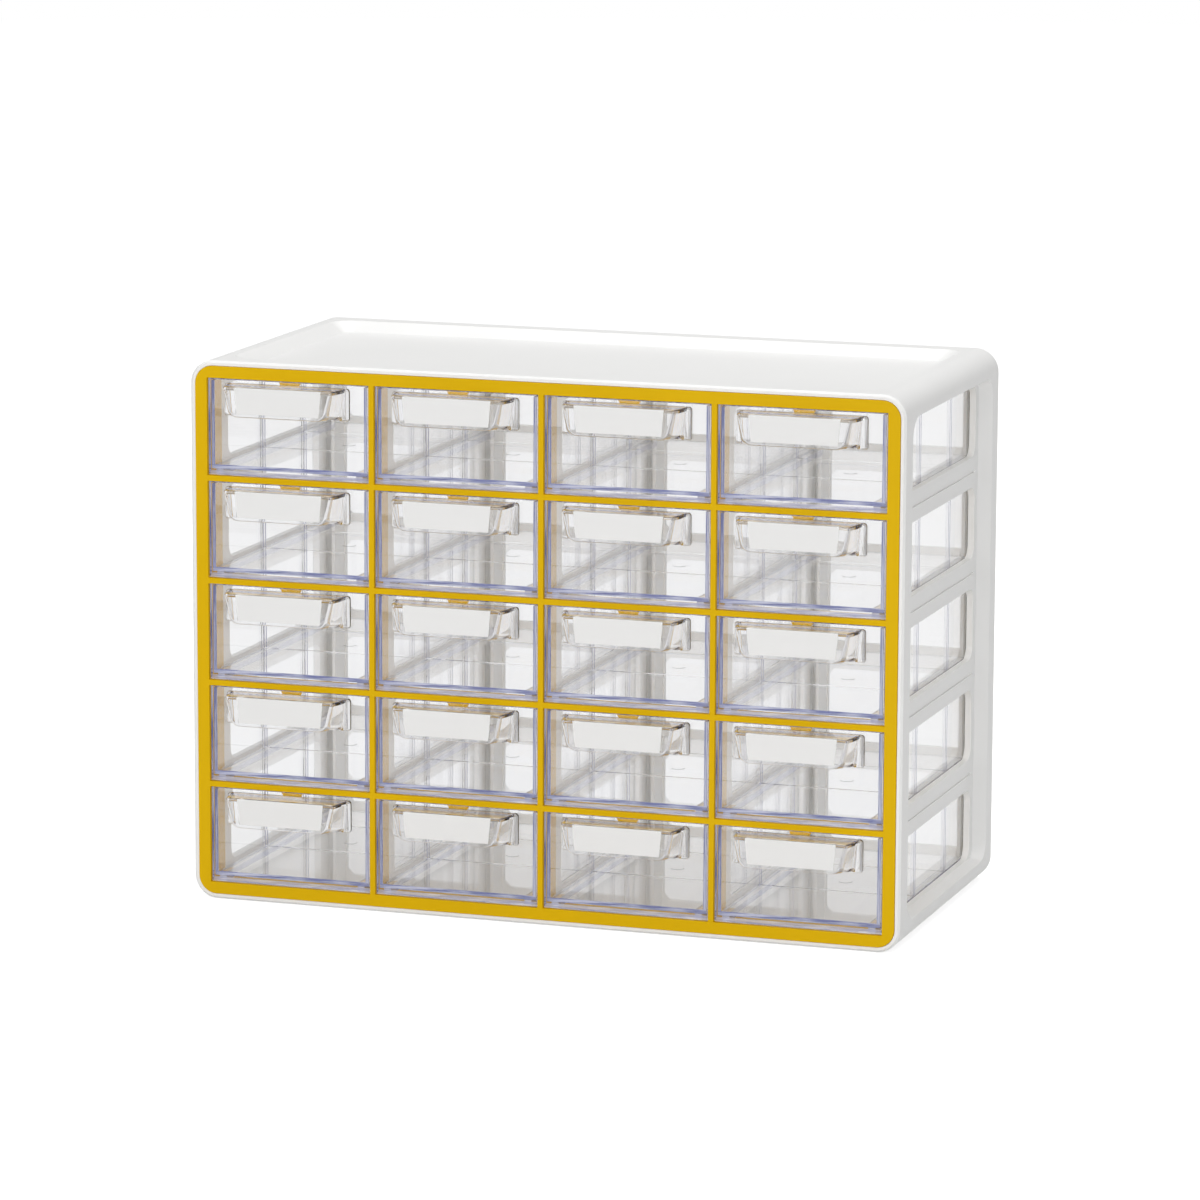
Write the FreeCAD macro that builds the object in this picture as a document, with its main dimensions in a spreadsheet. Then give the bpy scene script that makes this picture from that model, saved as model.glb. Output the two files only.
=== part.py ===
"""Tabletop drawer cabinet for rubber stamps and small craft parts.

A white case open at the front holds a yellow front grid, three partitions and a rear panel.
Twenty clear drawers ride on ledges in the cells, each pulled by a hood that holds a label card.

X runs across the front, +Y towards the rear and +Z up, with the origin at the centre of the
case's footprint.  Drawers, cards and the front grid are drawn from the grid's front face.
"""
import FreeCAD, Part
import math
import os
import re
import Sketcher

V = FreeCAD.Vector
doc = FreeCAD.newDocument("StampDrawers")

# ---------------------------------------------------------------- driving dimensions

SIZES = [
    # grid of cells
    ("columns", 4, "cells across"),
    ("rows", 5, "cells up"),
    ("cell_width", 94.25, "clear width of a cell"),
    ("cell_height", 54.0, "clear height of a cell"),
    ("mid_bar", 3.1, "grid bar between two cells"),
    ("side_bar", 6.85, "grid bar at the left and right"),
    ("end_bar", 6.5, "grid bar at the top and bottom"),
    ("grid_face", 2.4, "thickness of the grid's front face"),
    ("grid_skirt", 1.8, "thickness of the grid's outer skirt"),
    ("skirt_depth", 12.0, "front to back of the outer skirt"),
    ("cell_wall", 1.6, "wall behind the face around the block of cells"),
    ("grid_depth", 19.0, "front to back of the bars"),
    ("grid_proud", 0.6, "grid in front of the case's rim"),
    ("tab_root", 14.0, "width of a stop tab where it leaves the bar"),
    ("tab_tip", 9.4, "width of a stop tab at its lower edge"),
    ("tab_drop", 3.8, "stop tab below the bar"),
    ("tab_thick", 2.2, "stop tab front to back"),
    # case
    ("case_depth", 194.0, "front to back of the case"),
    ("rim", 3.0, "case edge that shows around the grid"),
    ("case_corner", 13.0, "outer corner radius of the case"),
    ("case_floor", 3.5, "bottom wall"),
    ("roof", 3.5, "top wall under the tray"),
    ("side_wall", 3.6, "side wall in its recess"),
    ("side_recess", 6.0, "depth of the recess in each side"),
    ("recess_border", 14.0, "flat border around a side recess"),
    ("recess_slope", 8.0, "run of the recess's sloped front and rear walls"),
    ("recess_lip", 2.2, "run of the recess's upper and lower walls"),
    ("recess_corner", 12.0, "corner radius of a recess at the outside"),
    ("tray_border", 17.0, "flat border beside the tray in the top"),
    ("tray_depth", 5.5, "depth of the tray"),
    ("window_border", 28.0, "case front or rear to a side window"),
    ("window_sill", 7.0, "cell edge to window edge, above and below"),
    ("window_corner", 7.0, "corner radius of a window"),
    ("bar_line", 1.4, "width of the line pressed in each bar between windows"),
    ("bar_line_depth", 0.8, "depth of that line"),
    ("front_bevel", 1.2, "bevel of the case's front edge"),
    ("rear_bevel", 2.4, "bevel of the case's rear edge"),
    # partitions, ledges and rear panel
    ("partition", 2.6, "thickness of a partition"),
    ("groove_depth", 1.0, "groove for a partition in the floor and roof"),
    ("ledge_thick", 3.1, "thickness of a drawer ledge"),
    ("ledge_margin", 0.4, "ledge beyond the inner side of a runner"),
    ("rear_panel", 3.0, "thickness of the rear panel"),
    ("rear_window", 78.0, "width of a window in the rear panel"),
    ("window_cut", 3.5, "cut corner of a window in a partition or the rear panel"),
    ("stop_rib", 2.0, "width of a stop rib on the rear panel"),
    # drawer
    ("plate_inset", 1.6, "drawer front behind the grid's face"),
    ("plate", 2.0, "thickness of the drawer front"),
    ("wall_inset", 1.2, "edge of the drawer front to the tub's side"),
    ("tub_wall", 2.0, "thickness of the tub's walls"),
    ("tub_floor", 2.3, "thickness of the tub's floor"),
    ("rear_space", 15.6, "tub to rear panel when a drawer is closed"),
    ("tub_drop", 1.6, "top of the tub below the top of the cell"),
    ("runner_height", 3.2, "runner under the floor"),
    ("runner_width", 4.0, "width of a runner"),
    ("runner_inset", 2.7, "tub side to runner"),
    ("divider_front", 72.0, "grid face to the first divider slot"),
    ("divider_pitch", 63.0, "first to second divider slot"),
    ("divider_slot", 1.6, "width of a divider slot"),
    ("divider_rib", 1.4, "thickness of a divider rib"),
    ("rib_proud", 1.5, "divider rib off the wall"),
    ("rib_lead", 8.0, "front rib of a pair below the rear rib"),
    ("floor_line", 0.5, "depth of the divider line in the floor"),
    # pull
    ("pull_drop", 2.3, "top of the pull below the top of the cell"),
    ("pull_height", 16.3, "height of the pull's face"),
    ("pull_depth", 17.4, "pull in front of the drawer front"),
    ("pull_width", 71.2, "width of the pull behind its slanted sides"),
    ("pull_face_top", 62.2, "width of the face at its top"),
    ("pull_face_foot", 53.8, "width of the face at its foot"),
    ("pull_corner", 4.2, "reach of the face's lower corners along each edge"),
    ("corner_bulge", 0.22, "middle of such a corner, as a share of its reach"),
    ("pull_wall", 2.0, "wall of the pull"),
    ("pull_front_wall", 3.0, "side wall of the pull where the finger space starts"),
    ("pull_skirt", 1.5, "pull deeper at the drawer front than at its face"),
    ("collar_depth", 3.4, "flange of the pull along the drawer front"),
    ("collar_step", 0.9, "flange beyond the pull's side"),
    ("card_cover", 1.8, "clear wall in front of the card"),
    ("card_slot", 0.8, "slot for the card"),
    ("card_back", 1.2, "clear wall behind the card"),
    # label card
    ("card_top", 50.4, "width of the card at its top"),
    ("card_foot", 48.2, "width of the card at its foot"),
    ("card_height", 12.2, "height of the card"),
    ("card_thick", 0.4, "thickness of the card"),
    ("card_sunk", 0.6, "top of the card below the top of the pull"),
    # clearances
    ("fit_gap", 0.2, "between two pieces that are pressed together"),
    ("run_gap", 0.35, "around a drawer that slides"),
]

sheet = doc.addObject("Spreadsheet::Sheet", "Sizes")
for row, (alias, size, note) in enumerate(SIZES, start=1):
    sheet.set(f"A{row}", note)
    sheet.set(f"B{row}", str(size))
    sheet.setAlias(f"B{row}", alias)
doc.recompute()

ALIAS = re.compile(r"\b(" + "|".join(alias for alias, _, _ in SIZES) + r")\b")
gauge = doc.addObject("App::FeaturePython", "Gauge")
gauge.addProperty("App::PropertyFloat", "Reading")


def bound(formula):
    """The formula with each size read from its cell."""
    return ALIAS.sub(r"Sizes.\1", formula)


def reading(formula):
    """The number that a formula gives now."""
    gauge.setExpression("Reading", bound(formula))
    gauge.recompute()
    return gauge.Reading


# ---------------------------------------------------------------- places worked out from the sizes

CELLS_W = "(columns * cell_width + (columns - 1) * mid_bar)"
CELLS_H = "(rows * cell_height + (rows - 1) * mid_bar)"
GRID_W = f"({CELLS_W} + 2 * side_bar)"
GRID_H = f"({CELLS_H} + 2 * end_bar)"
CASE_W = f"({GRID_W} + 2 * rim)"
CASE_H = f"({GRID_H} + 2 * rim)"
PITCH_X = "(cell_width + mid_bar)"
PITCH_Z = "(cell_height + mid_bar)"
FIRST_X = f"(-(columns - 1) * {PITCH_X} / 2)"       # centre of the first column
FIRST_Z = "(rim + end_bar)"                         # bottom of the lowest cell
FIRST_BAR_X = f"({FIRST_X} + {PITCH_X} / 2)"        # centre of the first upright bar
CELLS_TOP = f"({FIRST_Z} + {CELLS_H})"

FRONT = "(-case_depth / 2)"
REAR = "(case_depth / 2)"
GRID_FACE_Y = f"({FRONT} - grid_proud)"             # zero of the drawers' own depth
GRID_CORNER = "(case_corner - rim)"
INNER_X = f"({CASE_W} / 2 - side_recess - side_wall)"
RECESS_X = f"({CASE_W} / 2 - side_recess)"
ROOF_Z = f"({CASE_H} - tray_depth - roof)"
CORE_X = f"({CELLS_W} / 2 + cell_wall)"

# drawer: x from the cell's centre, y from the grid's face, z from the cell's bottom
TUB_REAR = "(case_depth + grid_proud - rear_panel - rear_space)"
PLATE_X = "(cell_width / 2 - run_gap)"
PLATE_REAR = "(plate_inset + plate)"
TUB_X = f"({PLATE_X} - wall_inset)"
TUB_UNDER = "(run_gap + runner_height)"
TUB_FLOOR_TOP = f"({TUB_UNDER} + tub_floor)"
TUB_TOP = "(cell_height - tub_drop)"
RUNNER_OUTER = f"({TUB_X} - runner_inset)"
RUNNER_INNER = f"({RUNNER_OUTER} - runner_width)"
LEDGE_INNER = f"({RUNNER_INNER} - ledge_margin)"
TAB_FRONT = f"({PLATE_REAR} + 2 * run_gap)"
TAB_REAR = f"({TAB_FRONT} + tab_thick)"
TRAVEL = f"({TUB_REAR} - tub_wall - {TAB_REAR} - run_gap)"

PULL_TOP = "(cell_height - pull_drop)"
PULL_FOOT = f"({PULL_TOP} - pull_height)"
PULL_FACE_Y = "(plate_inset - pull_depth)"
FACE_THICK = "(card_cover + card_slot + card_back)"
CARD_FOOT_Z = f"({PULL_TOP} - card_sunk - card_height)"

LEDGE_START = f"({GRID_FACE_Y} + grid_depth + run_gap)"
LEDGE_END = f"({GRID_FACE_Y} + {TUB_REAR})"
PANEL_FRONT = f"({REAR} - rear_panel)"


# ---------------------------------------------------------------- drawing tools

def origin_part(body, role):
    """A plane or axis of a body's own origin."""
    return next(item for item in body.Origin.OriginFeatures if item.Role == role)


def sketch_on(body, name, role, offset="0"):
    """An empty sketch on one of the body's planes, moved along the plane's normal."""
    sketch = body.newObject("Sketcher::SketchObject", name)
    sketch.AttachmentSupport = [(origin_part(body, role), "")]
    sketch.MapMode = "FlatFace"
    sketch.AttachmentOffset = FreeCAD.Placement(V(0, 0, reading(offset)), FreeCAD.Rotation())
    sketch.setExpression("AttachmentOffset.Base.z", bound(offset))
    return sketch


def upright_sketch(body, name, y_place="0"):
    """A sketch seen from the front: its axes are X and Z, at a given Y."""
    return sketch_on(body, name, "XZ_Plane", f"-({y_place})")


def outline(sketch, corners):
    """A closed outline, counter-clockwise.  A corner is (x, y) or (x, y, radius)."""
    points = []
    radii = []
    for corner in corners:
        points.append(V(reading(corner[0]), reading(corner[1]), 0))
        radii.append(reading(corner[2]) if len(corner) == 3 else 0.0)
    count = len(points)
    arrive = []
    leave = []
    centres = []
    for i, point in enumerate(points):
        back = (points[i - 1] - point).normalize()
        ahead = (points[(i + 1) % count] - point).normalize()
        half = back.getAngle(ahead) / 2
        reach = radii[i] / math.tan(half)
        arrive.append(point + back * reach)
        leave.append(point + ahead * reach)
        centres.append(point + (back + ahead).normalize() * (radii[i] / math.sin(half)))

    first = sketch.GeometryCount
    lines = [Part.LineSegment(leave[i], arrive[(i + 1) % count]) for i in range(count)]
    sketch.addGeometry(lines, False)
    rules = []
    datums = []                      # (position in rules, formula)

    def place(geometry, vertex, corner, point):
        for kind, formula, start in (("DistanceX", corner[0], point.x),
                                     ("DistanceY", corner[1], point.y)):
            datums.append((len(rules), formula))
            rules.append(Sketcher.Constraint(kind, -1, 1, geometry, vertex, start))

    for i, corner in enumerate(corners):
        line_in = first + (i - 1) % count
        line_out = first + i
        if len(corner) == 2:
            rules.append(Sketcher.Constraint("Coincident", line_in, 2, line_out, 1))
            place(line_out, 1, corner, points[i])
            continue
        start = arrive[i] - centres[i]
        end = leave[i] - centres[i]
        circle = Part.Circle(centres[i], V(0, 0, 1), radii[i])
        bend = Part.ArcOfCircle(circle, math.atan2(start.y, start.x), math.atan2(end.y, end.x))
        arc = sketch.addGeometry(bend, False)
        tip = sketch.addGeometry(Part.Point(points[i]), True)
        rules.append(Sketcher.Constraint("Tangent", line_in, 2, arc, 1))
        rules.append(Sketcher.Constraint("Tangent", arc, 2, line_out, 1))
        rules.append(Sketcher.Constraint("PointOnObject", tip, 1, line_in))
        rules.append(Sketcher.Constraint("PointOnObject", tip, 1, line_out))
        place(tip, 1, corner, points[i])
        datums.append((len(rules), corner[2]))
        rules.append(Sketcher.Constraint("Radius", arc, radii[i]))

    base = sketch.ConstraintCount
    sketch.addConstraint(rules)
    for position, formula in datums:
        sketch.setExpression(f"Constraints[{base + position}]", bound(formula))


def rectangle(sketch, left, right, low, high, radius=None):
    """A rectangle between two x and two y places, its corners rounded if a radius is given."""
    corners = [(left, low), (right, low), (right, high), (left, high)]
    if radius is not None:
        corners = [corner + (radius,) for corner in corners]
    outline(sketch, corners)


def cut_rectangle(sketch, left, right, low, high, cut):
    """A rectangle with its corners cut off at 45 degrees."""
    outline(sketch, [
        (f"{left} + {cut}", low),
        (f"{right} - {cut}", low),
        (right, f"{low} + {cut}"),
        (right, f"{high} - {cut}"),
        (f"{right} - {cut}", high),
        (f"{left} + {cut}", high),
        (left, f"{high} - {cut}"),
        (left, f"{low} + {cut}"),
    ])


def solid_from(body, sketch, name, length, towards_rear=False, both_ways=False):
    """A pad.  An upright sketch's own normal points to the front, so rearwards is reversed."""
    feature = body.newObject("PartDesign::Pad", name)
    feature.Profile = sketch
    feature.setExpression("Length", bound(length))
    feature.Reversed = towards_rear
    if both_ways:
        feature.SideType = "Symmetric"
    return feature


def cut_from(body, sketch, name, length, both_ways=False):
    """A pocket, which runs against the sketch's normal: rearwards from an upright sketch."""
    feature = body.newObject("PartDesign::Pocket", name)
    feature.Profile = sketch
    feature.setExpression("Length", bound(length))
    if both_ways:
        feature.SideType = "Symmetric"
    return feature


def loft(body, kind, name, first, last):
    """An additive or subtractive loft between two sketches."""
    feature = body.newObject(f"PartDesign::{kind}Loft", name)
    feature.Profile = first
    feature.Sections = [last]
    feature.Ruled = True
    return feature


def repeated(body, feature, name, *runs):
    """Copies of a feature along one axis, or over a grid.  A run is (axis, count, spacing)."""
    patterns = []
    for number, (axis, count, spacing) in enumerate(runs, start=1):
        pattern = body.newObject("PartDesign::LinearPattern", f"{name}_run_{number}")
        pattern.Direction = (origin_part(body, axis), [""])
        pattern.Mode = "Spacing"
        pattern.setExpression("Offset", bound(spacing))
        pattern.setExpression("Occurrences", bound(count))
        patterns.append(pattern)
    if len(patterns) == 1:
        patterns[0].Originals = [feature]
        body.Tip = patterns[0]
        return patterns[0]
    grid = body.newObject("PartDesign::MultiTransform", name)
    grid.Originals = [feature]
    grid.Transformations = patterns
    body.Tip = grid
    return grid


def mirrored(body, feature, name):
    """The feature again on the other side of the body's YZ plane."""
    mirror = body.newObject("PartDesign::Mirrored", name)
    mirror.Originals = [feature]
    mirror.MirrorPlane = (origin_part(body, "YZ_Plane"), [""])
    body.Tip = mirror
    return mirror


def bevelled_edges(body, name, size, wanted):
    """A chamfer on the edges of the present shape for which wanted(edge) is true."""
    doc.recompute()
    base = body.Tip
    names = [f"Edge{i}" for i, edge in enumerate(base.Shape.Edges, start=1) if wanted(edge)]
    if not names:
        raise RuntimeError(f"{name}: no edge to bevel")
    feature = body.newObject("PartDesign::Chamfer", name)
    feature.Base = (base, names)
    feature.setExpression("Size", bound(size))
    body.Tip = feature
    return feature


def new_body(label, x_place="0", y_place="0", z_place="0"):
    """A body whose own zero lies at the given place."""
    body = doc.addObject("PartDesign::Body", label)
    body.Label = label
    for axis, formula in (("x", x_place), ("y", y_place), ("z", z_place)):
        body.setExpression(f"Placement.Base.{axis}", bound(formula))
    return body


def copy_of(master, label, x_place="0", y_place="0", z_place="0"):
    """A body that repeats the master's solid at another place."""
    body = new_body(label, x_place, y_place, z_place)
    base = doc.addObject("PartDesign::FeatureBase", f"{label}_shape")
    body.Group = [base]
    body.Tip = base
    base.BaseFeature = master
    return body


# ---------------------------------------------------------------- case

def case_block(body):
    """The outer block, hollowed from front to rear."""
    profile = upright_sketch(body, "case_profile")
    rectangle(profile, f"-{CASE_W} / 2", f"{CASE_W} / 2", "0", CASE_H, "case_corner")
    solid_from(body, profile, "case_block", "case_depth", both_ways=True)

    hollow = upright_sketch(body, "hollow_profile", FRONT)
    rectangle(hollow, f"-{INNER_X}", INNER_X, "case_floor", ROOF_Z)
    cut_from(body, hollow, "hollow", "case_depth")


def case_sockets(body):
    """Rebates that the front grid and the rear panel are pressed into."""
    skirt_x = f"({GRID_W} / 2 + fit_gap)"
    skirt = upright_sketch(body, "skirt_socket_profile", FRONT)
    rectangle(skirt, f"-{skirt_x}", skirt_x, "rim - fit_gap", f"{CASE_H} - rim + fit_gap",
              f"{GRID_CORNER} + fit_gap")
    cut_from(body, skirt, "skirt_socket", "skirt_depth - grid_proud")

    core_x = f"({CORE_X} + fit_gap)"
    core = upright_sketch(body, "core_socket_profile", FRONT)
    rectangle(core, f"-{core_x}", core_x, f"{FIRST_Z} - cell_wall - fit_gap",
              f"{CELLS_TOP} + cell_wall + fit_gap")
    cut_from(body, core, "core_socket", "grid_depth - grid_proud + fit_gap")

    rebate_x = f"({CASE_W} / 2 - rim)"
    rebate = upright_sketch(body, "rear_rebate_profile", PANEL_FRONT)
    rectangle(rebate, f"-{rebate_x}", rebate_x, "rim", f"{CASE_H} - rim", GRID_CORNER)
    cut_from(body, rebate, "rear_rebate", "rear_panel")


def case_recesses(body):
    """The shallow recess in each side and the tray in the top, both with sloped walls."""
    outer_y = "(case_depth / 2 - recess_border)"
    inner_y = f"({outer_y} - recess_slope)"
    mouth = sketch_on(body, "side_mouth", "YZ_Plane", f"{CASE_W} / 2")
    rectangle(mouth, f"-{outer_y}", outer_y, "recess_border", f"{CASE_H} - recess_border",
              "recess_corner")
    bed = sketch_on(body, "side_bed", "YZ_Plane", RECESS_X)
    rectangle(bed, f"-{inner_y}", inner_y, "recess_border + recess_lip",
              f"{CASE_H} - recess_border - recess_lip", "recess_corner / 2")
    side = loft(body, "Subtractive", "side_recess", mouth, bed)
    mirrored(body, side, "side_recess_pair")

    outer_x = f"({CASE_W} / 2 - tray_border)"
    inner_x = f"({outer_x} - recess_slope)"
    brim = sketch_on(body, "tray_brim", "XY_Plane", CASE_H)
    rectangle(brim, f"-{outer_x}", outer_x, f"-{outer_y}", outer_y, "recess_corner")
    bottom = sketch_on(body, "tray_bottom", "XY_Plane", f"{CASE_H} - tray_depth")
    rectangle(bottom, f"-{inner_x}", inner_x, f"-{inner_y}", inner_y, "recess_corner / 2")
    loft(body, "Subtractive", "tray", brim, bottom)


def case_windows(body):
    """One window per row through both sides, with a pressed line between two windows."""
    window_y = "(case_depth / 2 - window_border)"
    opening = sketch_on(body, "window_profile", "YZ_Plane")
    rectangle(opening, f"-{window_y}", window_y, f"{FIRST_Z} + window_sill",
              f"{FIRST_Z} + cell_height - window_sill", "window_corner")
    window = cut_from(body, opening, "window", CASE_W, both_ways=True)
    repeated(body, window, "windows", ("Z_Axis", "rows", PITCH_Z))

    line_z = f"({FIRST_Z} + cell_height + mid_bar / 2)"
    for side, place in (("right", RECESS_X), ("left", f"-{RECESS_X} + bar_line_depth")):
        strip = sketch_on(body, f"{side}_line_profile", "YZ_Plane", place)
        rectangle(strip, f"-{window_y}", window_y, f"{line_z} - bar_line / 2",
                  f"{line_z} + bar_line / 2")
        line = cut_from(body, strip, f"{side}_line", "bar_line_depth")
        repeated(body, line, f"{side}_lines", ("Z_Axis", "rows - 1", PITCH_Z))


def case_ledges(body):
    """Ledges on the side walls, level with the ledges of the partitions."""
    reach = f"({LEDGE_INNER} - {FIRST_X})"
    profile = upright_sketch(body, "ledge_profile", LEDGE_START)
    rectangle(profile, reach, INNER_X, f"{FIRST_Z} - ledge_thick", FIRST_Z)
    rectangle(profile, f"-{INNER_X}", f"-{reach}", f"{FIRST_Z} - ledge_thick", FIRST_Z)
    pair = solid_from(body, profile, "ledge_pair", f"{LEDGE_END} - {LEDGE_START}",
                      towards_rear=True)
    repeated(body, pair, "ledges", ("Z_Axis", "rows", PITCH_Z))


def case_grooves(body):
    """Grooves in the floor and roof that locate the partitions."""
    half = "(partition / 2 + fit_gap)"
    profile = upright_sketch(body, "groove_profile", LEDGE_START)
    for low, high in (("case_floor - groove_depth", "case_floor"),
                      (ROOF_Z, f"{ROOF_Z} + groove_depth")):
        rectangle(profile, f"{FIRST_BAR_X} - {half}", f"{FIRST_BAR_X} + {half}", low, high)
    groove = cut_from(body, profile, "groove", f"{PANEL_FRONT} - {LEDGE_START}")
    repeated(body, groove, "grooves", ("X_Axis", "columns - 1", PITCH_X))


def case_shell():
    """White moulded case."""
    body = new_body("case_shell")
    case_block(body)
    case_recesses(body)
    case_sockets(body)
    case_windows(body)
    case_ledges(body)
    case_grooves(body)

    half_w = reading(f"{CASE_W} / 2")
    height = reading(CASE_H)

    def outer_loop(y_place):
        def wanted(edge):
            box = edge.BoundBox
            flat = box.YLength < 1e-6 and abs(box.YMin - y_place) < 1e-6
            at_side = min(half_w - abs(box.XMin), half_w - abs(box.XMax)) < 1e-6
            at_end = box.ZMin < 1e-6 or height - box.ZMax < 1e-6
            return flat and (at_side or at_end)
        return wanted

    bevelled_edges(body, "front_edge", "front_bevel", outer_loop(reading(FRONT)))
    bevelled_edges(body, "rear_edge", "rear_bevel", outer_loop(reading(REAR)))
    return body


# ---------------------------------------------------------------- front grid

def front_grid():
    """Yellow grid that frames the cells and carries the drawers' stop tabs."""
    body = new_body("front_grid", y_place=GRID_FACE_Y)

    face = upright_sketch(body, "skirt_profile")
    rectangle(face, f"-{GRID_W} / 2", f"{GRID_W} / 2", "rim", f"{CASE_H} - rim", GRID_CORNER)
    solid_from(body, face, "skirt_block", "skirt_depth", towards_rear=True)

    core = upright_sketch(body, "core_profile")
    rectangle(core, f"-{CORE_X}", CORE_X, f"{FIRST_Z} - cell_wall", f"{CELLS_TOP} + cell_wall")
    solid_from(body, core, "core_block", "grid_depth", towards_rear=True)

    channel_x = f"({GRID_W} / 2 - grid_skirt)"
    channel = upright_sketch(body, "channel_profile", "grid_face")
    rectangle(channel, f"-{channel_x}", channel_x, "rim + grid_skirt",
              f"{CASE_H} - rim - grid_skirt", f"{GRID_CORNER} - grid_skirt")
    rectangle(channel, f"-{CORE_X}", CORE_X, f"{FIRST_Z} - cell_wall", f"{CELLS_TOP} + cell_wall")
    cut_from(body, channel, "channel", "skirt_depth - grid_face")

    opening = upright_sketch(body, "cell_profile")
    rectangle(opening, f"{FIRST_X} - cell_width / 2", f"{FIRST_X} + cell_width / 2",
              FIRST_Z, f"{FIRST_Z} + cell_height")
    cell = cut_from(body, opening, "cell", "grid_depth")
    repeated(body, cell, "cells", ("X_Axis", "columns", PITCH_X), ("Z_Axis", "rows", PITCH_Z))

    top = f"({FIRST_Z} + cell_height)"
    root = upright_sketch(body, "tab_profile", TAB_FRONT)
    outline(root, [
        (f"{FIRST_X} - tab_root / 2", f"{top} + mid_bar / 2"),
        (f"{FIRST_X} - tab_root / 2", top),
        (f"{FIRST_X} - tab_tip / 2", f"{top} - tab_drop"),
        (f"{FIRST_X} + tab_tip / 2", f"{top} - tab_drop"),
        (f"{FIRST_X} + tab_root / 2", top),
        (f"{FIRST_X} + tab_root / 2", f"{top} + mid_bar / 2"),
    ])
    tab = solid_from(body, root, "tab", "tab_thick", towards_rear=True)
    repeated(body, tab, "tabs", ("X_Axis", "columns", PITCH_X), ("Z_Axis", "rows", PITCH_Z))
    return body


# ---------------------------------------------------------------- partitions and rear panel

def partition(label):
    """Upright between two columns, with a window and a pair of ledges for each row."""
    body = new_body(label, x_place=FIRST_BAR_X)
    tenon = "(groove_depth - fit_gap)"
    panel = sketch_on(body, f"{label}_panel_profile", "YZ_Plane")
    rectangle(panel, LEDGE_START, f"{PANEL_FRONT} - fit_gap", f"case_floor - {tenon}",
              f"{ROOF_Z} + {tenon}")
    solid_from(body, panel, f"{label}_panel", "partition", both_ways=True)

    window_y = "(case_depth / 2 - window_border)"
    opening = sketch_on(body, f"{label}_window_profile", "YZ_Plane")
    cut_rectangle(opening, f"-{window_y}", window_y, f"{FIRST_Z} + window_sill",
                  f"{FIRST_Z} + cell_height - window_sill", "window_cut")
    window = cut_from(body, opening, f"{label}_window", "partition", both_ways=True)
    repeated(body, window, f"{label}_windows", ("Z_Axis", "rows", PITCH_Z))

    reach = f"({PITCH_X} / 2 - {LEDGE_INNER})"
    profile = upright_sketch(body, f"{label}_ledge_profile", LEDGE_START)
    rectangle(profile, f"-{reach}", reach, f"{FIRST_Z} - ledge_thick", FIRST_Z)
    ledge = solid_from(body, profile, f"{label}_ledge", f"{LEDGE_END} - {LEDGE_START}",
                       towards_rear=True)
    repeated(body, ledge, f"{label}_ledges", ("Z_Axis", "rows", PITCH_Z))
    return body


def rear_panel():
    """Lattice that closes the rear, with upright ribs that stop the drawers when closed."""
    body = new_body("rear_panel")
    half_w = f"({CASE_W} / 2 - rim - fit_gap)"
    plate = upright_sketch(body, "rear_plate_profile", PANEL_FRONT)
    rectangle(plate, f"-{half_w}", half_w, "rim + fit_gap", f"{CASE_H} - rim - fit_gap",
              f"{GRID_CORNER} - fit_gap")
    solid_from(body, plate, "rear_plate", "rear_panel", towards_rear=True)

    opening = upright_sketch(body, "rear_window_profile", PANEL_FRONT)
    cut_rectangle(opening, f"{FIRST_X} - rear_window / 2", f"{FIRST_X} + rear_window / 2",
                  f"{FIRST_Z} + window_sill", f"{FIRST_Z} + cell_height - window_sill",
                  "window_cut")
    window = cut_from(body, opening, "rear_window", "rear_panel")
    repeated(body, window, "rear_windows",
             ("X_Axis", "columns", PITCH_X), ("Z_Axis", "rows", PITCH_Z))

    rib_centre = f"({RUNNER_OUTER} - runner_width / 2)"
    rib_front = f"({LEDGE_END} + run_gap)"
    ribs = upright_sketch(body, "stop_rib_profile", rib_front)
    for side in ("-1", "1"):
        centre = f"({FIRST_X} + {side} * {rib_centre})"
        rectangle(ribs, f"{centre} - stop_rib / 2", f"{centre} + stop_rib / 2", FIRST_Z, CELLS_TOP)
    pair = solid_from(body, ribs, "stop_rib_pair", f"{PANEL_FRONT} - {rib_front}",
                      towards_rear=True)
    repeated(body, pair, "stop_ribs", ("X_Axis", "columns", PITCH_X))
    return body


# ---------------------------------------------------------------- drawer

def drawer_tub(body):
    """Front plate, open tub and the two runners under its floor."""
    plate = upright_sketch(body, "plate_profile", "plate_inset")
    rectangle(plate, f"-{PLATE_X}", PLATE_X, "run_gap", "cell_height - run_gap")
    solid_from(body, plate, "plate", "plate", towards_rear=True)

    tub = sketch_on(body, "tub_profile", "XY_Plane", TUB_UNDER)
    rectangle(tub, f"-{TUB_X}", TUB_X, PLATE_REAR, TUB_REAR)
    solid_from(body, tub, "tub_block", f"{TUB_TOP} - {TUB_UNDER}")

    inner_x = f"({TUB_X} - tub_wall)"
    hollow = sketch_on(body, "tub_hollow_profile", "XY_Plane", TUB_TOP)
    rectangle(hollow, f"-{inner_x}", inner_x, PLATE_REAR, f"{TUB_REAR} - tub_wall")
    cut_from(body, hollow, "tub_hollow", f"{TUB_TOP} - {TUB_FLOOR_TOP}")

    runners = sketch_on(body, "runner_profile", "XY_Plane", "run_gap")
    for left, right in ((RUNNER_INNER, RUNNER_OUTER), (f"-{RUNNER_OUTER}", f"-{RUNNER_INNER}")):
        rectangle(runners, left, right, PLATE_REAR, f"{TUB_REAR} - tub_wall")
    solid_from(body, runners, "runners", "runner_height")


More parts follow.
